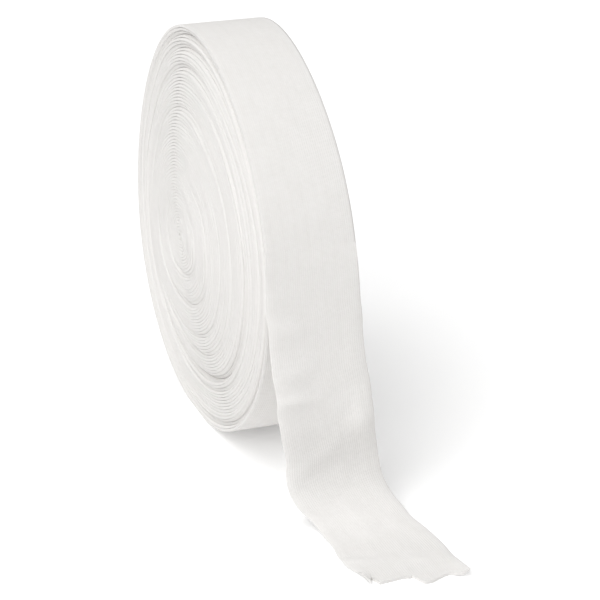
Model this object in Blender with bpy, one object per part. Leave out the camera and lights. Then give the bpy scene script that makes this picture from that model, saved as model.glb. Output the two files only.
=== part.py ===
# Roll of tubular knit stockinette, standing on its edge with its loose end run out in front.
# Metres, +Z up. +X runs along the roll's axis, away from its domed side, and the loose end runs towards -Y.
# The origin is the middle of the flat spot on which the roll stands.

import math

import bmesh
import bpy

# Driving dimensions of the wound roll
ROLL_RADIUS = 0.110  # mean radius of the outer turn
WOUND_WIDTH = 0.0475  # the tube laid flat and drawn narrow by the winding tension
TURN_PITCH = 0.00166  # two plies of knit, one turn
FLAT_SPOT_DEPTH = 0.0010  # how far the roll's weight presses its lowest turn flat
LEAVING_ANGLE = math.radians(14)  # above level, at the front, where the outer turn leaves the roll
EDGE_ROUND = 0.0016  # the folded edges of the tube at both rims
EDGE_ROUND_MIDDLE = 0.3  # where the middle of that rounding lies, as a share of it

# A soft roll without a core sags. Each row is one harmonic of its outline, as shares of the radius.
# The angle runs from the back (+Y) upwards.
OUT_OF_ROUND = (
    # order, cosine share, sine share
    (2, 0.0309, -0.0016),
    (3, -0.0130, -0.0160),
    (4, 0.0018, -0.0072),
)
INNER_SAG = 0.05  # extra flattening of the turns at the middle, as a share of their radius

# The near side's middle has slid out into a low dome with a round shoulder, and the far side is dished
# after it. Towards the top the near side leans back.
NEAR_DOME = 0.0093
DOME_SHARE = 0.66
DOME_POWER = 4
TOP_LEAN = 0.0025
FAR_DISH = 0.0050
FAR_DISH_POWER = 1.5

# Main grooves, where the winding slackened between one turn and the next
NEAR_GROOVES = (
    # share of the radius, depth, half width
    (0.957, 0.0026, 0.0017),
    (0.895, 0.0014, 0.0018),
    (0.805, 0.0014, 0.0018),
    (0.740, 0.0026, 0.0020),
    (0.615, 0.0018, 0.0022),
    (0.520, 0.0012, 0.0020),
    (0.365, 0.0020, 0.0024),
)
FAR_GROOVES = (
    # share of the radius, depth, half width
    (0.900, 0.0016, 0.0022),
    (0.680, 0.0020, 0.0024),
    (0.420, 0.0016, 0.0026),
)
EYE_SHARE = 0.055  # the pinched first turn at the middle
EYE_DEPTH = 0.0030
LAST_GROOVE_SHARE = 0.98  # past this the rim itself closes a groove
ROLL_STEPS = 72
HEIGHT_STEPS = 720
SHARP_EDGE = math.radians(40)

# The loose end, in sections from the roll to the cut. Each row gives the middle of the flattened tube:
# its distance in front of the axis, its height, and where its near and far edges lie along the axis.
# It widens as the winding tension leaves it, and drifts away from the domed side.
CLOTH_THICKNESS = 0.00136
CLOTH_GAP = 0.0004
LOOSE_END = (
    # forward, height, near edge, far edge
    (0.1130, 0.1217, -0.0243, 0.0238),
    (0.1160, 0.1107, -0.0250, 0.0239),
    (0.1190, 0.0997, -0.0252, 0.0239),
    (0.1220, 0.0888, -0.0249, 0.0236),
    (0.1251, 0.0778, -0.0247, 0.0237),
    (0.1284, 0.0669, -0.0246, 0.0245),
    (0.1313, 0.0560, -0.0241, 0.0250),
    (0.1332, 0.0450, -0.0230, 0.0254),
    (0.1333, 0.0340, -0.0213, 0.0267),
    (0.1345, 0.0235, -0.0207, 0.0281),
    (0.1384, 0.0155, -0.0206, 0.0291),
    (0.1440, 0.0098, -0.0185, 0.0311),
    (0.1505, 0.0056, -0.0147, 0.0337),
    (0.1575, 0.0028, -0.0119, 0.0355),
    (0.1648, 0.0012, -0.0111, 0.0378),
    (0.1725, 0.0007, -0.0111, 0.0390),
    (0.1870, 0.0007, -0.0119, 0.0404),
    (0.1990, 0.0007, -0.0090, 0.0403),
)
STEPS_A_SECTION = 2

# The cut end: how far it reaches, at shares of the width from the near edge to the far one
CUT_END = (
    # share of the width, forward
    (0.00, 0.2060),
    (0.04, 0.2100),
    (0.09, 0.2065),
    (0.13, 0.2120),
    (0.24, 0.2115),
    (0.36, 0.2108),
    (0.47, 0.2115),
    (0.53, 0.2190),
    (0.61, 0.2189),
    (0.71, 0.2164),
    (0.82, 0.2145),
    (0.92, 0.2185),
    (1.00, 0.2185),
)
CUT_ROWS = 2
CURL_HEIGHT = 0.0030  # the far corner of the cut turns up a little
CURL_FROM = 0.80


def material(name, colour, roughness):
    """A plain finish for one piece."""
    finish = bpy.data.materials.new(name)
    finish.use_nodes = True
    shader = finish.node_tree.nodes["Principled BSDF"]
    shader.inputs["Base Color"].default_value = (*colour, 1.0)
    shader.inputs["Roughness"].default_value = roughness
    shader.inputs["Metallic"].default_value = 0.0
    return finish


def finish_object(name, shape, finish):
    """Turns a bmesh into a named object with smooth shading."""
    bmesh.ops.recalc_face_normals(shape, faces=shape.faces)
    mesh = bpy.data.meshes.new(name)
    shape.to_mesh(mesh)
    shape.free()
    mesh.shade_smooth()
    mesh.set_sharp_from_angle(angle=SHARP_EDGE)
    mesh.materials.append(finish)
    obj = bpy.data.objects.new(name, mesh)
    bpy.context.scene.collection.objects.link(obj)
    return obj


def outline(angle, share):
    """The sagged outline's radius for the turn at this share of the roll's radius."""
    bulge = INNER_SAG * (1 - share) * math.cos(2 * angle)
    for order, cosine, sine in OUT_OF_ROUND:
        bulge += cosine * math.cos(order * angle) + sine * math.sin(order * angle)
    return ROLL_RADIUS * share * (1 + bulge)


def winding_angle(turned):
    """The angle from the back upwards after turning this share of a turn, over the top, from the front."""
    return math.pi - LEAVING_ANGLE - 2 * math.pi * turned


def outer_radius(turned):
    """The outer turn's radius after this share of a turn. It ends one pitch further in than it starts."""
    return outline(winding_angle(turned), 1) * (1 - TURN_PITCH / ROLL_RADIUS * turned)


def axis_height():
    """The axis stands as high as the outer turn reaches below it, less the flat spot."""
    turns = [step / HEIGHT_STEPS for step in range(HEIGHT_STEPS)]
    reach = max(-outer_radius(turned) * math.sin(winding_angle(turned)) for turned in turns)
    return reach - FLAT_SPOT_DEPTH


AXIS_HEIGHT = axis_height()


def near_side(share):
    return -WOUND_WIDTH / 2 - NEAR_DOME * math.exp(-((share / DOME_SHARE) ** DOME_POWER))


def near_lean(share, angle):
    """How far the near side leans back at this share of the radius: not at the foot, fully at the top."""
    return TOP_LEAN * ((1 + share * math.sin(angle)) / 2) ** 2


def far_side(share):
    return WOUND_WIDTH / 2 - FAR_DISH * (1 - share) ** FAR_DISH_POWER


def side_rings(grooves, side, inward):
    """Rows of (share, x) for one side, from the eye out: three rings to a groove, and one on each ridge."""
    rings = [(EYE_SHARE, side(EYE_SHARE) + inward * EYE_DEPTH / 2)]
    previous = EYE_SHARE
    for share, depth, half_width in sorted(grooves):
        half = half_width / ROLL_RADIUS
        ridge = (previous + share) / 2
        rings.append((ridge, side(ridge)))
        rings.append((share - half, side(share - half)))
        rings.append((share, side(share) + inward * depth))
        if share + half < LAST_GROOVE_SHARE:
            rings.append((share + half, side(share + half)))
        previous = share + half
    return rings


def ring_points(shape, share, x, leaning):
    """A closed ring of points of one turn."""
    points = []
    for step in range(ROLL_STEPS):
        angle = winding_angle(step / ROLL_STEPS)
        radius = outline(angle, share)
        height = max(0.0, AXIS_HEIGHT + radius * math.sin(angle))
        leant = x + leaning * near_lean(share, angle)
        points.append(shape.verts.new((leant, radius * math.cos(angle), height)))
    return points


def spiral_points(shape, x, drop, leaning):
    """An open ring of the outer turn, this far below its surface."""
    points = []
    for step in range(ROLL_STEPS + 1):
        turned = step / ROLL_STEPS
        angle = winding_angle(turned)
        radius = outer_radius(turned) - drop
        height = max(0.0, AXIS_HEIGHT + radius * math.sin(angle))
        leant = x + leaning * near_lean(1, angle)
        points.append(shape.verts.new((leant, radius * math.cos(angle), height)))
    return points


def bridge(shape, inner, outer):
    """Faces between two rings. A closed ring meets an open one at its first point twice."""
    for step in range(ROLL_STEPS):
        following = step + 1
        inner_next = inner[following % len(inner)]
        outer_next = outer[following % len(outer)]
        shape.faces.new((inner[step], inner_next, outer_next, outer[step]))


def wound_roll():
    """The wound form, with its main grooves, and the step where the outer turn leaves it."""
    shape = bmesh.new()
    near = [ring_points(shape, share, x, 1) for share, x in side_rings(NEAR_GROOVES, near_side, 1)]
    far = [ring_points(shape, share, x, 0) for share, x in side_rings(FAR_GROOVES, far_side, -1)]
    half_width = WOUND_WIDTH / 2
    middle = EDGE_ROUND * EDGE_ROUND_MIDDLE
    rim_rows = (
        # x, how far below the outer surface, how far it takes part in the near side's lean
        (-half_width, EDGE_ROUND, 1),
        (-half_width + middle, middle, 1),
        (-half_width + EDGE_ROUND, 0.0, 1),
        (0.0, 0.0, 0),
        (half_width - EDGE_ROUND, 0.0, 0),
        (half_width - middle, middle, 0),
        (half_width, EDGE_ROUND, 0),
    )
    rim = [spiral_points(shape, x, drop, leaning) for x, drop, leaning in rim_rows]
    rings = near + rim + far[::-1]
    for inner, outer in zip(rings[:-1], rings[1:]):
        bridge(shape, inner, outer)
    start_of_step = [near[-1][0]] + [ring[0] for ring in rim] + [far[-1][0]]
    end_of_step = [ring[-1] for ring in reversed(rim)]
    shape.faces.new(start_of_step + end_of_step)
    near_eye = near_side(0) + near_lean(0, 0) + EYE_DEPTH
    for ring, x in ((near[0], near_eye), (far[0], far_side(0) - EYE_DEPTH)):
        eye = shape.verts.new((x, 0.0, AXIS_HEIGHT))
        for step in range(ROLL_STEPS):
            shape.faces.new((eye, ring[step], ring[(step + 1) % ROLL_STEPS]))
    return finish_object("wound_roll", shape, material("wound_knit", (0.86, 0.85, 0.82), 0.9))


def smooth_value(values, place):
    """A smooth curve through evenly spaced values, at a place counted in steps from the first."""
    last = len(values) - 1
    first = min(int(place), last - 1)
    t = place - first
    before = values[max(first - 1, 0)]
    start, end = values[first], values[first + 1]
    after = values[min(first + 2, last)]
    slope_in, slope_out = (end - before) / 2, (after - start) / 2
    cubic = 2 * t**3 - 3 * t**2
    return (
        (cubic + 1) * start
        + (t**3 - 2 * t**2 + t) * slope_in
        - cubic * end
        + (t**3 - t**2) * slope_out
    )


def leaving_section():
    """Where the flattened tube leaves the roll, in line with the outer turn and a small gap past its step."""
    angle = winding_angle(0) + CLOTH_GAP / ROLL_RADIUS
    radius = outline(winding_angle(0), 1) - CLOTH_THICKNESS / 2
    near = -WOUND_WIDTH / 2 + near_lean(1, winding_angle(0))
    return (-radius * math.cos(angle), AXIS_HEIGHT + radius * math.sin(angle), near, WOUND_WIDTH / 2)


def loose_end_sections():
    """Finely spaced sections of the hanging and lying cloth, down to the last row before the cut."""
    rows = (leaving_section(),) + LOOSE_END
    columns = list(zip(*rows))
    count = (len(rows) - 1) * STEPS_A_SECTION
    return [[smooth_value(column, i / STEPS_A_SECTION) for column in columns] for i in range(count + 1)]


def section_normal(sections, index):
    """The direction square to the cloth, away from the roll, as (forward, up)."""
    before = sections[max(index - 1, 0)]
    after = sections[min(index + 1, len(sections) - 1)]
    along = (after[0] - before[0], after[1] - before[1])
    length = math.hypot(*along)
    return (-along[1] / length, along[0] / length)


def section_points(shape, section, normal, side):
    """A row of points over one face of the flattened tube, at the shares of the width that the cut has."""
    forward, height, near, far = section
    lowest = CLOTH_THICKNESS if side > 0 else 0.0
    y = -(forward + side * normal[0])
    z = max(lowest, height + side * normal[1])
    return [shape.verts.new((near + (far - near) * share, y, z)) for share, _ in CUT_END]


def cut_points(shape, progress, face_height):
    """A row of points between the last full section and the ragged cut, rising to the curled corner."""
    last_forward, _, near, far = LOOSE_END[-1]
    points = []
    for share, reach in CUT_END:
        forward = last_forward + (reach - last_forward) * progress
        curl = CURL_HEIGHT * max(0.0, (share - CURL_FROM) / (1 - CURL_FROM)) ** 2
        z = face_height + curl * progress
        points.append(shape.verts.new((near + (far - near) * share, -forward, z)))
    return points


def loose_end():
    """One flattened tube, lofted through its sections and closed all round."""
    shape = bmesh.new()
    half = CLOTH_THICKNESS / 2
    sections = loose_end_sections()
    grid = []
    for index, section in enumerate(sections):
        normal = section_normal(sections, index)
        grid.append([section_points(shape, section, normal, side) for side in (half, -half)])
    for cut_row in range(1, CUT_ROWS + 1):
        progress = cut_row / CUT_ROWS
        grid.append([cut_points(shape, progress, height) for height in (CLOTH_THICKNESS, 0.0)])
    last = len(CUT_END) - 1
    for first, second in zip(grid[:-1], grid[1:]):
        for i in range(last):
            shape.faces.new((first[0][i], first[0][i + 1], second[0][i + 1], second[0][i]))
            shape.faces.new((first[1][i], second[1][i], second[1][i + 1], first[1][i + 1]))
        shape.faces.new((first[0][0], second[0][0], second[1][0], first[1][0]))
        shape.faces.new((first[0][last], first[1][last], second[1][last], second[0][last]))
    for row in (grid[0], grid[-1]):
        for i in range(last):
            shape.faces.new((row[0][i], row[1][i], row[1][i + 1], row[0][i + 1]))
    return finish_object("loose_end", shape, material("loose_knit", (0.88, 0.87, 0.84), 0.9))


def main():
    for obj in list(bpy.data.objects):
        bpy.data.objects.remove(obj)
    wound_roll()
    loose_end()


main()
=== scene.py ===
# %% [markdown]
# A roll of compression stockinette: a fine knitted tube, laid flat and wound on itself without a core.
# The roll stands on its edge, and its loose end runs down the front and out over the surface.
# The packed solids come first. They are the frame that every visible piece keeps to.

import math

import bmesh
import bpy
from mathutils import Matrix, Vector, noise


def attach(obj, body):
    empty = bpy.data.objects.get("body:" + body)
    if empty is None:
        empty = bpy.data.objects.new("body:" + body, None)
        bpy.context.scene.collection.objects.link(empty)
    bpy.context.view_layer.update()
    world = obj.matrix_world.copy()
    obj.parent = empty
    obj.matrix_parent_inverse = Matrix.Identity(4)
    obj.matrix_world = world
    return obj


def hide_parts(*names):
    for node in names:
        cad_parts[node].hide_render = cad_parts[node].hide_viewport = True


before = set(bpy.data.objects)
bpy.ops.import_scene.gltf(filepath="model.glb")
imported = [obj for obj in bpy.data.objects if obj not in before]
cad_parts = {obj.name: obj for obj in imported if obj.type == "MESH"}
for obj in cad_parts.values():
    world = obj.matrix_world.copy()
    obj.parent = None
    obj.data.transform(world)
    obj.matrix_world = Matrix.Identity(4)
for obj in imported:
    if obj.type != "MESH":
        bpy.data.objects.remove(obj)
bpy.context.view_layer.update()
print("solids:", sorted(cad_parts))

# %% [markdown]
# The sizes are those of the solids: +X runs along the roll's axis, away from the side that is seen,
# the loose end runs towards -Y, and the origin is under the roll, where it stands.

# %% Sizes of the roll, in metres
ROLL_RADIUS = 0.110
WOUND_WIDTH = 0.0475
TURN_PITCH = 0.00166
TURN_THICKNESS = 0.00165
LEAVING_ANGLE = math.radians(14)
AXIS_HEIGHT = 0.10293
INNER_SAG = 0.05
OUT_OF_ROUND = (
    # order, cosine share, sine share
    (2, 0.0309, -0.0016),
    (3, -0.0130, -0.0160),
    (4, 0.0018, -0.0072),
)
NEAR_DOME = 0.0093
DOME_SHARE = 0.66
DOME_POWER = 4
TOP_LEAN = 0.0025
FAR_DISH = 0.0050
FAR_DISH_POWER = 1.5
EYE_SHARE = 0.02
turns = (1 - EYE_SHARE) * ROLL_RADIUS / TURN_PITCH
print("turns of cloth:", round(turns, 1))
print("wound length in metres:", round(math.pi * ROLL_RADIUS * turns * (1 + EYE_SHARE), 1))

# %% [markdown]
# Both the shape of the turns and the finish of the knit are worked out by node trees. Long sums are hard
# to read as single nodes, so a small class wraps a socket and gives it Python's operators. An expression
# such as 1 - depth * 2 then adds the Math nodes that it needs.

# %% Numbers in a node tree
class Value:
    """A number that a node tree works out."""

    def __init__(self, tree, socket):
        self.tree = tree
        self.socket = socket

    def __add__(self, other):
        return self.tree.math("ADD", self, other)

    def __sub__(self, other):
        return self.tree.math("SUBTRACT", self, other)

    def __rsub__(self, other):
        return self.tree.math("SUBTRACT", other, self)

    def __mul__(self, other):
        return self.tree.math("MULTIPLY", self, other)

    def __truediv__(self, other):
        return self.tree.math("DIVIDE", self, other)

    def __pow__(self, other):
        return self.tree.math("POWER", self, other)

    def __neg__(self):
        return self.tree.math("MULTIPLY", self, -1)

    __radd__ = __add__
    __rmul__ = __mul__


class Tree:
    """Adds nodes to one node tree, each from its type, its settings and what its sockets get."""

    def __init__(self, tree):
        self.tree = tree

    def add(self, kind, settings=None, sockets=None):
        """Makes a node. A socket that is given a value or a socket gets a link, or else a constant."""
        node = self.tree.nodes.new(kind)
        for name, setting in (settings or {}).items():
            setattr(node, name, setting)
        for name, given in (sockets or {}).items():
            socket = given.socket if isinstance(given, Value) else given
            if isinstance(socket, bpy.types.NodeSocket):
                self.tree.links.new(socket, node.inputs[name])
            else:
                node.inputs[name].default_value = socket
        return node

    def math(self, operation, *values):
        """The result of one Math node."""
        node = self.add("ShaderNodeMath", {"operation": operation}, dict(enumerate(values)))
        return Value(self, node.outputs[0])

    def value(self, kind, settings=None, sockets=None):
        """The first output of a new node."""
        return Value(self, self.add(kind, settings, sockets).outputs[0])


def sine(value):
    return value.tree.math("SINE", value)


def cosine(value):
    return value.tree.math("COSINE", value)


def sign(value):
    return value.tree.math("SIGN", value)


def magnitude(value):
    return value.tree.math("ABSOLUTE", value)


def exponential(value):
    return value.tree.math("EXPONENT", value)


def least(value, other):
    return value.tree.math("MINIMUM", value, other)


def greatest(value, other):
    return value.tree.math("MAXIMUM", value, other)


def ripple(phase):
    """From 1 down to 0 and back once in each full turn of the phase."""
    return cosine(phase) * 0.5 + 0.5


operators = [name for name, part in vars(Value).items() if callable(part) and name != "__init__"]
print("operators of a value:", *operators)

# %% [markdown]
# The roll itself is one long flattened tube in about 65 turns. What shows on its near side is the folded
# edge of every turn, a fine rounded ring, and the rings stand out or sink in a little as the winding was
# tighter or slacker. A skin with painted rings would look flat in the raking light, so the real turns are
# made. A hand-wound roll isn't quite round: each turn's radius follows a few low waves round the axis.

# %% The outline of a turn
def out_of_round(angle, sine_of, cosine_of):
    """How far a turn's radius departs from the mean, as a share of it."""
    return sum(c * cosine_of(angle * order) + s * sine_of(angle * order) for order, c, s in OUT_OF_ROUND)


def outline(angle, share=1.0):
    """The radius of the turn at this share of the roll's radius, at an angle from the back upwards."""
    bulge = INNER_SAG * (1 - share) * math.cos(2 * angle)
    return ROLL_RADIUS * share * (1 + bulge + out_of_round(angle, math.sin, math.cos))


for side, angle in (("front", math.pi), ("top", math.pi / 2)):
    print("radius at the", side + ":", round(outline(angle), 4))

# %% [markdown]
# Where a few turns were wound tighter, their edges lie back and leave a groove. Each groove is a row of a
# table. It is deepest at one angle and dies out round the ring. A row with a negative depth is a ridge.

# %% Grooves between the turns
NEAR_GROOVES = (
    # share of the radius, depth, half width, angle of its deepest place, how closely it keeps to it
    (0.959, 0.0036, 0.0017, 125, 0.9),
    (0.954, 0.0016, 0.0013, 270, 3.0),
    (0.898, 0.0024, 0.0020, 115, 1.0),
    (0.905, 0.0012, 0.0016, 325, 3.0),
    (0.855, -0.0008, 0.0018, 325, 3.0),
    (0.800, 0.0012, 0.0016, 325, 3.0),
    (0.865, 0.0012, 0.0015, 165, 3.0),
    (0.740, 0.0010, 0.0016, 165, 3.0),
    (0.808, 0.0018, 0.0020, 80, 1.5),
    (0.850, 0.0014, 0.0030, 225, 2.0),
    (0.792, 0.0014, 0.0013, 270, 2.0),
    (0.738, 0.0032, 0.0018, 270, 0.8),
    (0.615, 0.0014, 0.0017, 270, 1.5),
    (0.620, 0.0014, 0.0017, 80, 1.5),
    (0.520, 0.0012, 0.0017, 260, 1.0),
    (0.365, 0.0020, 0.0020, 260, 0.6),
    (0.210, 0.0012, 0.0017, 270, 0.5),
)
FAR_GROOVES = (
    # share of the radius, depth, half width, angle of its deepest place, how closely it keeps to it
    (0.900, 0.0016, 0.0022, 60, 0.4),
    (0.680, 0.0020, 0.0024, 200, 0.4),
    (0.420, 0.0016, 0.0026, 300, 0.4),
)


def groove_depth(grooves, share, angle):
    """How far the turns' edges lie back at this share of the radius, all grooves together."""
    total = 0.0
    for place, depth, half_width, deepest, keeping in grooves:
        across = (share - place) * (ROLL_RADIUS / half_width)
        around = ripple(angle - math.radians(deepest)) ** keeping
        total = exponential(-(across * across)) * depth * around + total
    return total


for side, grooves in (("near", NEAR_GROOVES), ("far", FAR_GROOVES)):
    deepest_in_mm = 1000 * max(depth for _, depth, *_ in grooves)
    print("grooves on the", side, "side:", len(grooves), "deepest in mm:", round(deepest_in_mm, 1))

# %% [markdown]
# The sides of the roll are a low dome near, which leans back at the top, and a shallow dish far. Single
# turns stand out or sink in by a jitter that is their own, and groups of turns by a slower drift. Both
# are noise with a fixed seed. The outermost turns form an even lip.

# %% The sides of the turns
# How far a fold reaches to the side, as a share of half the thickness. Where turns stand out on the near
# side it is less, down to FLATTEST_FOLD of that.
FOLD_REACH = 0.06
FLATTEST_FOLD = 0.25
RELIEF_FROM, RELIEF_RISE = -0.15, 4
# The lip begins at about this share of the roll's radius.
LIP_SHARE = 0.965
LIP_FOLD_REACH = 0.03
LIP_UNEVENNESS = 0.2
# How fast each noise changes with the turns and round the axis, its detail and its share
JITTER_TURNS, JITTER_ROUND, JITTER_DETAIL, JITTER_SHARE = 1.3, 1.6, 1.0, 0.35
DRIFT_TURNS, DRIFT_ROUND, DRIFT_DETAIL, DRIFT_SHARE = 0.26, 1.3, 0.0, 3


def round_noise(tree, along, angle, spread, detail):
    """Noise from -0.5 to 0.5 that changes along the winding and round the roll's axis."""
    place = tree.add("ShaderNodeCombineXYZ", None, {
        "X": along, "Y": cosine(angle) * spread, "Z": sine(angle) * spread,
    })
    return tree.value("ShaderNodeTexNoise", {"noise_dimensions": "3D"}, {
        "Vector": place.outputs[0], "Scale": 1.0, "Detail": detail,
    }) - 0.5


def unevenness(tree, size, turned, turned_here, share, angle):
    """How far a turn lies to the far side, and its folds' reach as a share of half its thickness."""
    jitter = round_noise(tree, turned * JITTER_TURNS + size["Seed"], angle, JITTER_ROUND, JITTER_DETAIL)
    drift = round_noise(tree, turned_here * DRIFT_TURNS - size["Seed"], angle, DRIFT_ROUND, DRIFT_DETAIL)
    inside_lip = greatest(least((LIP_SHARE - share) / (1 - LIP_SHARE) + 0.5, 1), 0)
    relief = least(greatest((drift - RELIEF_FROM) * RELIEF_RISE, 0), 1)
    fold_reach = (relief * (1 - FLATTEST_FOLD) + FLATTEST_FOLD) * FOLD_REACH
    fold_reach = inside_lip * (fold_reach - LIP_FOLD_REACH) + LIP_FOLD_REACH
    uneven = (jitter * JITTER_SHARE + drift * DRIFT_SHARE) * size["Unevenness"]
    return uneven * (inside_lip * (1 - LIP_UNEVENNESS) + LIP_UNEVENNESS), fold_reach


def turn_sides(size, here, angle, uneven):
    """Where the near and the far side lie at this share of the roll's radius."""
    half = size["Width"] / 2
    dome = exponential(-(greatest(here / DOME_SHARE, 0) ** DOME_POWER)) * NEAR_DOME
    lean = ((here * sine(angle) + 1) / 2) ** 2 * TOP_LEAN
    dish = greatest(1 - here, 0) ** FAR_DISH_POWER * FAR_DISH
    near = lean - half - dome + groove_depth(NEAR_GROOVES, here, angle) + uneven
    far = half - dish - groove_depth(FAR_GROOVES, here, angle) + uneven
    return near, far


print("near dome and far dish in mm:", round(1000 * NEAR_DOME, 1), round(1000 * FAR_DISH, 1))

# %% [markdown]
# The whole piece follows a rule, so Geometry Nodes make it: a flat grid whose long side is wound up as the
# spiral and whose short side is bent round as the tube's section. Each quarter of the section has four
# steps: three round the fold and one flat, with a point close to the fold so that the wide flat part is
# shaded flat.

# %% The section of the flattened tube
QUARTER_STEPS = 4
FOLD_STEPS = 3
# How far out the flat part's last point lies, as a share of the way to the fold
FLAT_SHARE = 0.94


def tube_section(round_section, fold):
    """A grid point's place on the tube: its side, how far across, its turn round the fold, its depth."""
    outer_ply = sign(2 - magnitude(round_section) * 2)
    from_middle = 1 - magnitude(magnitude(round_section) - 1)
    across = least(from_middle * FLAT_SHARE * QUARTER_STEPS, 1)
    turn = least((1 - from_middle) * (QUARTER_STEPS / FOLD_STEPS), 1) * (math.pi / 2)
    depth = (1 - outer_ply * sine(turn)) * fold
    return sign(round_section), across, turn, depth


print("points round the section:", 4 * QUARTER_STEPS)

# %% [markdown]
# A tree shows its sizes as named inputs. They are set by their sockets' identifiers, because two inputs
# may share a name.

# %% The inputs of the winding tree
STEPS_ALONG = 5800
WINDING_SIZES = (
    # name, type of socket, value
    ("Turns", "NodeSocketFloat", turns),
    ("Steps", "NodeSocketInt", STEPS_ALONG),
    ("Section points", "NodeSocketInt", 4 * QUARTER_STEPS + 1),
    ("Roll radius", "NodeSocketFloat", ROLL_RADIUS),
    ("Pitch", "NodeSocketFloat", TURN_PITCH),
    ("Thickness", "NodeSocketFloat", TURN_THICKNESS),
    ("Width", "NodeSocketFloat", WOUND_WIDTH),
    ("Axis height", "NodeSocketFloat", AXIS_HEIGHT),
    ("Unevenness", "NodeSocketFloat", 0.0007),
    ("Seed", "NodeSocketFloat", 7.0),
)


def add_inputs(group, sizes):
    """Gives a node group an input for each size, and returns the values by the inputs' identifiers."""
    values = {}
    for name, kind, value in sizes:
        socket = group.interface.new_socket(name, in_out="INPUT", socket_type=kind)
        values[socket.identifier] = value
    return values


print("steps in one turn:", round(STEPS_ALONG / turns))

# %% [markdown]
# The tree winds the grid. The steps along it are spread so that the outer turns get more of them, because
# they are longer and show more. The map of the knit is stored first, while its fields still read the flat
# grid.

# %% The tree that winds the tube
STEP_SPREAD = 2 / 3
MERGE_DISTANCE = 1e-6


def wound_tree(name, finish):
    """A geometry node tree that makes the wound turns, with its sizes as inputs."""
    group = bpy.data.node_groups.new(name, "GeometryNodeTree")
    values = add_inputs(group, WINDING_SIZES)
    group.interface.new_socket("Geometry", in_out="OUTPUT", socket_type="NodeSocketGeometry")
    tree = Tree(group)
    given = tree.add("NodeGroupInput")
    size = {label: Value(tree, given.outputs[label]) for label, _, _ in WINDING_SIZES}

    grid = tree.add("GeometryNodeMeshGrid", None, {
        "Size X": 1.0, "Size Y": 1.0,
        "Vertices X": size["Section points"], "Vertices Y": size["Steps"],
    })
    place = tree.add("ShaderNodeSeparateXYZ", None, {
        0: tree.add("GeometryNodeInputPosition").outputs[0],
    })
    # From -1 to 1 over the outer ply and back over the inner one
    round_section = Value(tree, place.outputs["X"]) * 4
    along = Value(tree, place.outputs["Y"]) + 0.5

    turned = size["Turns"] * (1 - greatest(1 - along, 0) ** STEP_SPREAD)
    angle = math.pi - LEAVING_ANGLE - turned * (2 * math.pi)
    share = 1 - turned * size["Pitch"] / size["Roll radius"]
    bulge = cosine(angle * 2) * (1 - share) * INNER_SAG + out_of_round(angle, sine, cosine)
    outer = size["Roll radius"] * share * (1 + bulge)
    fold = size["Thickness"] / 2
    to_side, across, turn, depth = tube_section(round_section, fold)

    # Each point has its own share of the radius, so that the sides run on smoothly from turn to turn.
    here = share + (fold - depth) / size["Roll radius"]
    turned_here = turned + (depth - fold) / size["Pitch"]
    uneven, fold_reach = unevenness(tree, size, turned, turned_here, share, angle)
    near, far = turn_sides(size, here, angle, uneven)
    middle = (near + far) / 2
    rounding = fold * fold_reach
    x = middle + to_side * (across * ((far - near) / 2 - rounding) + cosine(turn) * rounding)
    radius = outer - depth
    height = greatest(size["Axis height"] + radius * sine(angle), 0)
    cloth_length = turned * (2 * math.pi) * size["Roll radius"] * (1 + share) / 2

    on_cloth = tree.add("ShaderNodeCombineXYZ", None, {
        "X": (x - middle) + to_side * depth, "Y": cloth_length,
    })
    mapped = tree.add("GeometryNodeStoreNamedAttribute", {"data_type": "FLOAT2", "domain": "CORNER"}, {
        "Geometry": grid.outputs["Mesh"], "Name": "knit", "Value": on_cloth.outputs[0],
    })
    position = tree.add("ShaderNodeCombineXYZ", None, {"X": x, "Y": radius * cosine(angle), "Z": height})
    made = tree.add("GeometryNodeSetPosition", None, {
        "Geometry": mapped.outputs[0], "Position": position.outputs[0],
    })
    for kind, settings in (
        ("GeometryNodeMergeByDistance", {"Distance": MERGE_DISTANCE}),
        ("GeometryNodeSetShadeSmooth", {}),
        ("GeometryNodeRealizeInstances", {}),
        ("GeometryNodeSetMaterial", {"Material": finish}),
        ("NodeGroupOutput", {}),
    ):
        made = tree.add(kind, None, {"Geometry": made.outputs[0], **settings})
    print("nodes in the winding tree:", len(group.nodes))
    return group, values


# %% [markdown]
# The knit is a fine rib of white cotton and elastic. Its stitches are about a millimetre across, so from
# where the camera stands they only roughen the white. The map runs along the cloth in metres, which keeps
# the ribs straight on the turns and on the loose end alike.

# %% The finish of the knit
BRIGHT_WHITE = (0.808, 0.794, 0.778, 1)
DULL_WHITE = (0.735, 0.720, 0.697, 1)
RIB_SPACING = 0.0011
STITCH_SPACING = 0.0009
WALE_SPACING = 0.0062
WALE_POWER = 6
STITCH_LEAN = 2
# How far ribs and wales wander, and the scale and detail of the two noises
RIB_WANDER, WALE_WANDER = 0.0006, 0.001
WANDER_NOISE = (90.0, 2.0)
CLOUD_NOISE = (420.0, 3.0)
# How much each part adds to the dullness and to the height; the rib's share darkens the valleys between
# the ribs as painted shade
RIB_VALLEY_SHADE, WALE_DULL, CLOUD_DULL, WANDER_DULL, DULL_FROM = 0.2, 0.2, 0.5, 0.4, 0.3
RIB_HEIGHT, STITCH_HEIGHT, CLOUD_HEIGHT = 0.5, 0.35, 0.5
BUMP_STRENGTH, BUMP_DISTANCE = 0.5, 0.0003
ROUGHNESS, RIB_GLOSS = 0.95, 0.1
SPECULAR = 0.2


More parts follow.
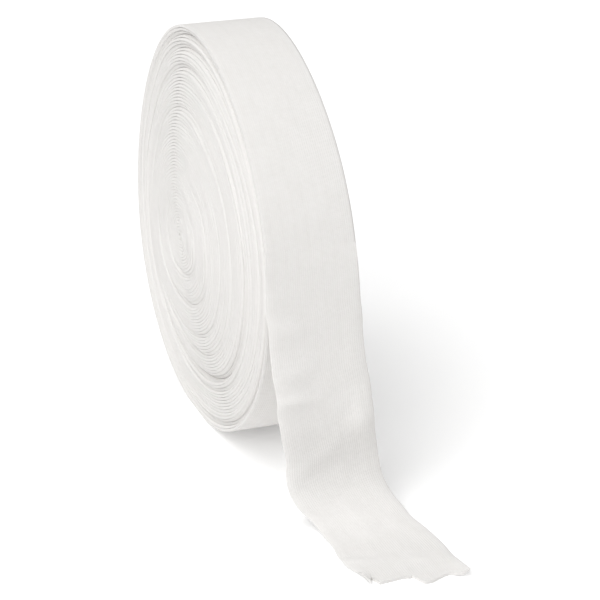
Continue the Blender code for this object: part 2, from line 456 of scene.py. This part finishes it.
def knit_finish(name):
    """White ribbed knit, with its ribs along the cloth."""
    finish = bpy.data.materials.new(name)
    finish.use_nodes = True
    tree = Tree(finish.node_tree)
    shader = finish.node_tree.nodes["Principled BSDF"]
    shader.inputs["Specular IOR Level"].default_value = SPECULAR
    knit_map = tree.add("ShaderNodeUVMap", {"uv_map": "knit"}).outputs[0]
    place = tree.add("ShaderNodeSeparateXYZ", None, {0: knit_map})
    across = Value(tree, place.outputs["X"])
    along = Value(tree, place.outputs["Y"])
    wander, cloud = (
        tree.value("ShaderNodeTexNoise", {"noise_dimensions": "2D"}, {
            "Vector": knit_map, "Scale": scale, "Detail": detail,
        })
        for scale, detail in (WANDER_NOISE, CLOUD_NOISE)
    )
    rib = ripple((across + wander * RIB_WANDER) * (2 * math.pi / RIB_SPACING))
    stitch = ripple(along * (2 * math.pi / STITCH_SPACING) + rib * STITCH_LEAN)
    wale = ripple((across + wander * WALE_WANDER) * (2 * math.pi / WALE_SPACING)) ** WALE_POWER
    # Painted shade darkens the valleys between the ribs; the wales, the clouds and the wander add the
    # knit's own uneven tone.
    tone_and_valley_shade = (1 - rib) * RIB_VALLEY_SHADE + wale * wander * WALE_DULL + cloud * CLOUD_DULL
    tone_and_valley_shade = tone_and_valley_shade + wander * WANDER_DULL - DULL_FROM
    # A Mix node of colours takes them at its inputs 6 and 7, and its output 2 is the result.
    colour = tree.add("ShaderNodeMix", {"data_type": "RGBA"}, {
        0: least(greatest(tone_and_valley_shade, 0), 1), 6: BRIGHT_WHITE, 7: DULL_WHITE,
    })
    bump = tree.add("ShaderNodeBump", None, {
        "Height": rib * RIB_HEIGHT + stitch * STITCH_HEIGHT + cloud * CLOUD_HEIGHT,
        "Strength": BUMP_STRENGTH, "Distance": BUMP_DISTANCE,
    })
    roughness = ROUGHNESS - rib * RIB_GLOSS
    for socket, link in (
        ("Base Color", colour.outputs[2]),
        ("Roughness", roughness.socket),
        ("Normal", bump.outputs[0]),
    ):
        finish.node_tree.links.new(link, shader.inputs[socket])
    return finish


knit = knit_finish("stockinette_knit")
print("finish:", knit.name)

# %% [markdown]
# Geometry Nodes work on an object. An empty mesh carries the modifier, the result is copied out as a plain
# mesh, and the carrier goes with its modifier. The two ends of the tube are then closed.

# %% The wound turns
def made_plain(name, group, values):
    """The result of a geometry node tree as a plain mesh object."""
    carrier = bpy.data.objects.new(name + "_carrier", bpy.data.meshes.new(name + "_carrier"))
    bpy.context.scene.collection.objects.link(carrier)
    modifier = carrier.modifiers.new(name, "NODES")
    modifier.node_group = group
    for identifier, value in values.items():
        modifier[identifier] = value
    evaluated = carrier.evaluated_get(bpy.context.evaluated_depsgraph_get())
    mesh = bpy.data.meshes.new_from_object(evaluated)
    mesh.name = name
    bpy.data.objects.remove(carrier)
    made = bpy.data.objects.new(name, mesh)
    bpy.context.scene.collection.objects.link(made)
    return made


def close_ends(piece):
    """Fills the open ends of a tube with flat faces that have sharp edges."""
    shape = bmesh.new()
    shape.from_mesh(piece.data)
    open_edges = [edge for edge in shape.edges if edge.is_boundary]
    caps = bmesh.ops.holes_fill(shape, edges=open_edges, sides=0)["faces"]
    bmesh.ops.recalc_face_normals(shape, faces=shape.faces)
    for edge in open_edges:
        edge.smooth = False
    shape.to_mesh(piece.data)
    shape.free()
    return len(caps)


turns_of_cloth = made_plain("wound_turns", *wound_tree("Wound turns", knit))
print("ends closed:", close_ends(turns_of_cloth))
print("quads in the turns:", len(turns_of_cloth.data.polygons))

# %% [markdown]
# The loose end is the same flattened tube. It hangs from the front of the roll, bends where it reaches the
# surface and runs out to a cut that has frayed and curled. It is a loft: rows across the cloth follow a
# smooth line through the places where the solid has it.

# %% The loose end's course
LOOSE_END = (
    # forward of the axis, height, near edge, far edge
    (0.1130, 0.1217, -0.0243, 0.0238),
    (0.1160, 0.1107, -0.0250, 0.0239),
    (0.1190, 0.0997, -0.0252, 0.0239),
    (0.1220, 0.0888, -0.0249, 0.0236),
    (0.1251, 0.0778, -0.0247, 0.0237),
    (0.1284, 0.0669, -0.0246, 0.0245),
    (0.1313, 0.0560, -0.0241, 0.0250),
    (0.1332, 0.0450, -0.0230, 0.0254),
    (0.1333, 0.0340, -0.0213, 0.0267),
    (0.1345, 0.0235, -0.0207, 0.0281),
    (0.1384, 0.0155, -0.0206, 0.0291),
    (0.1440, 0.0098, -0.0185, 0.0311),
    (0.1505, 0.0056, -0.0147, 0.0337),
    (0.1575, 0.0028, -0.0119, 0.0355),
    (0.1648, 0.0012, -0.0111, 0.0378),
    (0.1725, 0.0007, -0.0111, 0.0390),
    (0.1870, 0.0007, -0.0119, 0.0404),
    (0.1990, 0.0007, -0.0090, 0.0403),
)
CLOTH_THICKNESS = 0.00136
# The course starts this share of a turn before the cloth leaves the roll.
BEFORE_LEAVING = 0.0178
ROWS_A_STEP = 8


def roll_section(turned):
    """The outer turn's outer face and edges after this share of a turn, as a row of the course."""
    angle = math.pi - LEAVING_ANGLE - 2 * math.pi * turned
    radius = outline(angle, 1 - turned * TURN_PITCH / ROLL_RADIUS)
    near = -WOUND_WIDTH / 2 + TOP_LEAN * ((1 + math.sin(angle)) / 2) ** 2
    return (-radius * math.cos(angle), AXIS_HEIGHT + radius * math.sin(angle), near, WOUND_WIDTH / 2)


def face_to_middle(row):
    """A row on the roll, moved in from its outer face to the middle of the loose end's thickness."""
    forward, height, near, far = row
    above = height - AXIS_HEIGHT
    inner = 1 - CLOTH_THICKNESS / 2 / math.hypot(forward, above)
    return (forward * inner, AXIS_HEIGHT + above * inner, near, far)


def smooth_value(values, place):
    """A smooth curve through evenly spaced values, at a place counted in steps from the first."""
    last = len(values) - 1
    first = min(int(place), last - 1)
    t = place - first
    before = values[max(first - 1, 0)]
    start, end = values[first], values[first + 1]
    after = values[min(first + 2, last)]
    slope_in, slope_out = (end - before) / 2, (after - start) / 2
    cubic = 2 * t**3 - 3 * t**2
    leaving = (t**3 - 2 * t**2 + t) * slope_in
    arriving = (t**3 - t**2) * slope_out
    return (cubic + 1) * start + leaving - cubic * end + arriving


course = tuple(face_to_middle(roll_section(turned)) for turned in (BEFORE_LEAVING, 0)) + LOOSE_END
columns = list(zip(*course))
course_rows = [
    [smooth_value(column, 1 + i / ROWS_A_STEP) for column in columns]
    for i in range((len(course) - 2) * ROWS_A_STEP + 1)
]
print("rows along the loose end:", len(course_rows))

# %% [markdown]
# Cloth this soft takes creases wherever it turns. The creases of the hanging part are low, two millimetres
# at most, and the light makes them out as soft bands. Each is one ridge that runs across at a slant. Both
# borders, where the tube is folded, thin out and turn back.

# %% The loose end's creases and borders
CREASES = (
    # distance from the roll at the middle of the width, slant, middle, reach across, half width, height
    (0.0205, 0.000, 0.30, 0.30, 0.0060, 0.0008),
    (0.0400, 0.006, 0.20, 0.22, 0.0050, 0.0009),
    (0.0610, 0.002, 0.24, 0.14, 0.0040, 0.0010),
    (0.0740, 0.000, 0.12, 0.24, 0.0028, 0.0014),
    (0.0880, -0.010, 0.90, 0.16, 0.0120, 0.0020),
    (0.0990, -0.030, 0.50, 0.60, 0.0055, 0.0008),
    (0.1420, 0.004, 0.60, 0.40, 0.0050, 0.0005),
    (0.1790, 0.012, 0.12, 0.16, 0.0020, 0.0009),
    (0.1840, -0.006, 0.70, 0.20, 0.0040, 0.0006),
)
SOFT_FOLDS = (
    # changes across the width, changes a metre along, seed, height
    (3.1, 48, 4.0, 0.0004),
    (7.0, 110, 9.0, 0.0002),
)
BORDER_WIDTH = 0.0085
BORDER_TURN = 0.0008
BORDER_TAPER = 0.0036
# Distances from the roll between which the cloth comes free of it, and between which it comes to lie
FREE_FROM, FREE_FULL = 0.012, 0.035
LYING_FROM, LYING_FULL = 0.115, 0.150


def ramp(value, start, end):
    """0 up to the start, 1 from the end on, smooth between them."""
    t = min(1.0, max(0.0, (value - start) / (end - start)))
    return t * t * (3 - 2 * t)


def noise_at(x, y, z):
    """Smooth noise, the same in each run."""
    return noise.noise(Vector((x, y, z)))


def crease_height(travelled, share):
    """How far the cloth stands out, this far from the roll and at this share of the width."""
    total = 0.0
    for place, slant, middle, reach, half_width, height in CREASES:
        along = (travelled - place - slant * (share - 0.5)) / half_width
        across = (share - middle) / reach
        total += height * math.exp(-along * along - across * across)
    for across, along, seed, height in SOFT_FOLDS:
        total += height * noise_at(share * across, travelled * along, seed)
    return total


def border_turn(travelled, share):
    """How far the folded borders turn back, which they do only where the cloth hangs free."""
    from_edge = min(share, 1 - share) * WOUND_WIDTH
    hanging = 1 - ramp(travelled, LYING_FROM, LYING_FULL)
    return BORDER_TURN * max(0.0, 1 - from_edge / BORDER_WIDTH) ** 2 * hanging


def fold_profile(share, reach):
    """The share of the thickness at this share of the width: full in the middle, none at the folds."""
    from_edge = min(share, 1 - share) * WOUND_WIDTH / reach
    return math.sqrt(max(0.0, 1 - max(0.0, 1 - from_edge) ** 2))


def cloth_faces(share, travelled):
    """How far the outer and the inner face lie from the middle line."""
    full = ramp(travelled, 0.0, FREE_FULL)
    reach = TURN_THICKNESS / 2 * LIP_FOLD_REACH * (1 - full) + BORDER_TAPER * full
    fold = TURN_THICKNESS / 2 * (1 - full) + CLOTH_THICKNESS / 2 * full
    profile = fold_profile(share, reach)
    outer = CLOTH_THICKNESS / 2 - (1 - profile) * fold
    return outer, outer - CLOTH_THICKNESS * profile


print("highest crease in mm:", round(1000 * max(row[-1] for row in CREASES), 1))

# %% [markdown]
# The cut was made with scissors in a few snips, so its line has corners, and single loops have frayed out
# of it. Its two corners curl up. Points across the width lie close together at the folded borders.

# %% The cut, and the points across the width
CUT_END = (
    # share of the width, forward
    (0.00, 0.2070),
    (0.04, 0.2118),
    (0.085, 0.2058),
    (0.125, 0.2122),
    (0.24, 0.2115),
    (0.36, 0.2108),
    (0.47, 0.2115),
    (0.53, 0.2190),
    (0.61, 0.2189),
    (0.71, 0.2164),
    (0.82, 0.2145),
    (0.92, 0.2185),
    (1.00, 0.2185),
)
FRAYS = (
    # changes across the width, seed, length
    (42, 1.0, 0.0005),
    (95, 5.0, 0.00025),
)
CURLS = (
    # share of the width at which the curl starts, share where it is full, height
    (0.09, 0.0, 0.0036),
    (0.80, 1.0, 0.0030),
)
MIDDLE_COLUMNS = 44
FOLD_COLUMNS_IN_MM = (0.0, 0.03, 0.12, 0.27, 0.48, 0.74, 1.06, 1.5, 2.1)


def column_shares():
    """Places across the width, close together at the folded borders."""
    near = [place / 1000 / WOUND_WIDTH for place in FOLD_COLUMNS_IN_MM]
    span = 1 - 2 * near[-1]
    middle = [near[-1] + span * i / MIDDLE_COLUMNS for i in range(1, MIDDLE_COLUMNS)]
    return near + middle + [1 - share for share in reversed(near)]


def cut_reach(share):
    """How far forward the cut lies at this share of the width, with the fray of single loops."""
    fray = sum(length * noise_at(share * changes, seed, 0.0) for changes, seed, length in FRAYS)
    for (start, first), (end, second) in zip(CUT_END[:-1], CUT_END[1:]):
        if share <= end:
            return first + (second - first) * (share - start) / (end - start) + fray
    return CUT_END[-1][1]


shares = column_shares()
print("points across the loose end:", len(shares))

# %% [markdown]
# Every row of the loft has the points of the outer face and those of the inner face. The hanging rows
# stand square to the course, the rows up to the cut lie flat on the surface, and nothing goes below it.

# %% The loose end's rows
CUT_ROWS = 14
SWAYS = (
    # distance to the side, changes a metre along, start
    (0.0003, 205, 0),
    (0.00015, 370, 1),
)


def loose_rows():
    """Rows of (forward, height, near, far, normal forward, normal up, distance along)."""
    rows = []
    travelled = 0.0
    for i, (forward, height, near, far) in enumerate(course_rows):
        back = course_rows[max(i - 1, 0)]
        ahead = course_rows[min(i + 1, len(course_rows) - 1)]
        step = (ahead[0] - back[0], ahead[1] - back[1])
        length = math.hypot(*step)
        if i:
            travelled += math.hypot(forward - rows[-1][0], height - rows[-1][1])
        rows.append((forward, height, near, far, -step[1] / length, step[0] / length, travelled))
    return rows


def hanging_points(row):
    """The outer and the inner face's points of one row."""
    forward, height, near, far, out, up, travelled = row
    free = ramp(travelled, FREE_FROM, FREE_FULL)
    sway = free * sum(reach * math.sin(travelled * changes + start) for reach, changes, start in SWAYS)
    faces = ([], [])
    for share in shares:
        shift = free * (crease_height(travelled, share) - border_turn(travelled, share))
        x = near + sway + (far - near - sway / 2) * share
        for face, off in zip(faces, cloth_faces(share, travelled)):
            z = max(CLOTH_THICKNESS / 2 + off, height + (off + shift) * up)
            face.append((x, -(forward + (off + shift) * out), z))
    return faces


def cut_points(progress):
    """Both faces' points of a row between the last full one and the cut."""
    forward, _, near, far, _, _, travelled = rows[-1]
    faces = ([], [])
    for share in shares:
        reach = (cut_reach(share) - forward) * progress
        lift = max(0.0, crease_height(travelled + reach, share))
        for start, full, height in CURLS:
            lift += height * max(0.0, (share - start) / (full - start)) ** 2 * progress
        x = near + (far - near) * share
        for face, off in zip(faces, cloth_faces(share, travelled)):
            face.append((x, -(forward + reach), CLOTH_THICKNESS / 2 + off + lift))
    return faces


rows = loose_rows()
print("length of the loose end before its cut:", round(rows[-1][-1], 4))

# %% [markdown]
# Faces join the points of neighbouring rows. The plies meet at the folds, and a strip closes the start and
# the cut, so the mesh has no open edge. Its map carries on the knit's ribs from the roll.

# %% The loose end's mesh
SAME_POINT = 1e-7
SHARP_ANGLE = math.radians(50)


def cloth_grid(shape):
    """The vertices of every row, outer face and inner face, and each vertex's place on the cloth."""
    lengths = [row[-1] for row in rows]
    last_reach = sum(cut_reach(share) for share in shares) / len(shares) - rows[-1][0]
    lengths += [lengths[-1] + last_reach * i / CUT_ROWS for i in range(1, CUT_ROWS + 1)]
    all_rows = [hanging_points(row) for row in rows]
    all_rows += [cut_points(i / CUT_ROWS) for i in range(1, CUT_ROWS + 1)]
    grid, place_on_cloth = [], {}
    for faces, length in zip(all_rows, lengths):
        grid.append([[shape.verts.new(point) for point in points] for points in faces])
        for verts in grid[-1]:
            for vert, share in zip(verts, shares):
                place_on_cloth[vert] = ((share - 0.5) * WOUND_WIDTH, -length)
    return grid, place_on_cloth


def make_loose_cloth():
    """One closed mesh: the outer and the inner ply, joined at the folds, at the start and at the cut."""
    shape = bmesh.new()
    knit_map = shape.loops.layers.uv.new("knit")
    grid, place_on_cloth = cloth_grid(shape)
    last = len(shares) - 1
    for first, second in zip(grid[:-1], grid[1:]):
        for i in range(last):
            shape.faces.new((first[0][i], first[0][i + 1], second[0][i + 1], second[0][i]))
            shape.faces.new((first[1][i], second[1][i], second[1][i + 1], first[1][i + 1]))
    for end in (grid[0], grid[-1]):
        for i in range(last):
            shape.faces.new((end[0][i], end[1][i], end[1][i + 1], end[0][i + 1]))
    for face in shape.faces:
        face.smooth = True
        for loop in face.loops:
            loop[knit_map].uv = place_on_cloth[loop.vert]
    bmesh.ops.remove_doubles(shape, verts=shape.verts, dist=SAME_POINT)
    bmesh.ops.recalc_face_normals(shape, faces=shape.faces)
    print("open edges in the loose end:", sum(edge.is_boundary for edge in shape.edges))
    mesh = bpy.data.meshes.new("loose_cloth")
    shape.to_mesh(mesh)
    shape.free()
    mesh.set_sharp_from_angle(angle=SHARP_ANGLE)
    mesh.materials.append(knit)
    cloth = bpy.data.objects.new("loose_cloth", mesh)
    bpy.context.scene.collection.objects.link(cloth)
    return cloth


loose_cloth = make_loose_cloth()
print("quads in the loose end:", len(loose_cloth.data.polygons))

# %% [markdown]
# Each piece rides on the roll's one body and stands for its solid, which is hidden. The loose end is two
# plies of the tube and hangs from the roll.

# %% Pieces and solids
for piece, node, slot in (
    (turns_of_cloth, "wound_roll", "wound_knit"),
    (loose_cloth, "loose_end", "loose_knit"),
):
    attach(piece, "root")
    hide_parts(node)
    print(piece.name, "stands for", node)

# %% [markdown]
# The floor and the light are a pale studio. The floor is a light table that glows a little, which opens
# the shadows under the roll.

# %% The floor
FLOOR_REACH = 6.0
FLOOR_CORNERS = ((-1, -1), (1, -1), (1, 1), (-1, 1))
FLOOR_WHITE = 0.915
FLOOR_GLOW = 0.170
FLOOR_ROUGHNESS = 0.9
WHITE = (1, 1, 1, 1)


def add_floor():
    """A wide flat sheet of pale floor, which is stage and no part of the roll."""
    mesh = bpy.data.meshes.new("floor")
    corners = [(x * FLOOR_REACH, y * FLOOR_REACH, 0) for x, y in FLOOR_CORNERS]
    mesh.from_pydata(corners, [], [(0, 1, 2, 3)])
    floor = bpy.data.objects.new("floor", mesh)
    bpy.context.scene.collection.objects.link(floor)
    finish = bpy.data.materials.new("pale_floor")
    finish.use_nodes = True
    shader = finish.node_tree.nodes["Principled BSDF"]
    for socket, value in (
        ("Base Color", (FLOOR_WHITE, FLOOR_WHITE, FLOOR_WHITE, 1)),
        ("Emission Color", WHITE),
        ("Emission Strength", FLOOR_GLOW),
        ("Roughness", FLOOR_ROUGHNESS),
    ):
        shader.inputs[socket].default_value = value
    mesh.materials.append(finish)


add_floor()
print("floor glow:", FLOOR_GLOW)

# %% [markdown]
# Three large soft lamps stand far off: one high on the left, one low in front on the left, and a weaker
# one on the right. A sun with a wide angle gives such light. Even white from all round fills the rest.

# %% The light
SUNS = (
    # name, degrees to the left of the roll's front, degrees up, strength
    ("key", 90, 65, 1.24),
    ("front_left", 45, 34, 1.17),
    ("right", -90, 50, 0.70),
)
SUN_SOFTNESS = math.radians(40)
FILL = 0.319


def stand_up(name, data, turned, raised):
    """Adds a lamp or a camera that looks from this far to the left of the roll's front, this high up."""
    thing = bpy.data.objects.new(name, data)
    look = Vector((
        math.sin(turned) * math.cos(raised),
        math.cos(turned) * math.cos(raised),
        -math.sin(raised),
    ))
    thing.rotation_mode = "QUATERNION"
    thing.rotation_quaternion = look.to_track_quat("-Z", "Y")
    bpy.context.scene.collection.objects.link(thing)
    return thing


for name, turned, raised, strength in SUNS:
    sun = bpy.data.lights.new(name, "SUN")
    sun.angle = SUN_SOFTNESS
    sun.energy = strength
    stand_up(name, sun, math.radians(turned), math.radians(raised))
world = bpy.data.worlds.new("studio")
world.use_nodes = True
background = world.node_tree.nodes["Background"]
background.inputs["Color"].default_value = WHITE
background.inputs["Strength"].default_value = FILL
bpy.context.scene.world = world
bpy.context.scene.view_settings.view_transform = "Standard"
print("lamps:", len(SUNS))

# %% [markdown]
# The camera was fitted to the near rim, the far rim and the edges of the loose end.

# %% The camera
# In radians, to the left of the roll's front and up
TURNED = 0.348474
RAISED = 0.379582
CAMERA_PLACE = (-0.3438, -1.0426, 0.4998)
CAMERA_LENS = 132

camera_data = bpy.data.cameras.new("camera")
camera_data.lens = CAMERA_LENS
camera = stand_up("camera", camera_data, TURNED, RAISED)
camera.location = CAMERA_PLACE
bpy.context.scene.camera = camera
print("camera lens in mm:", CAMERA_LENS)

# %% [markdown]
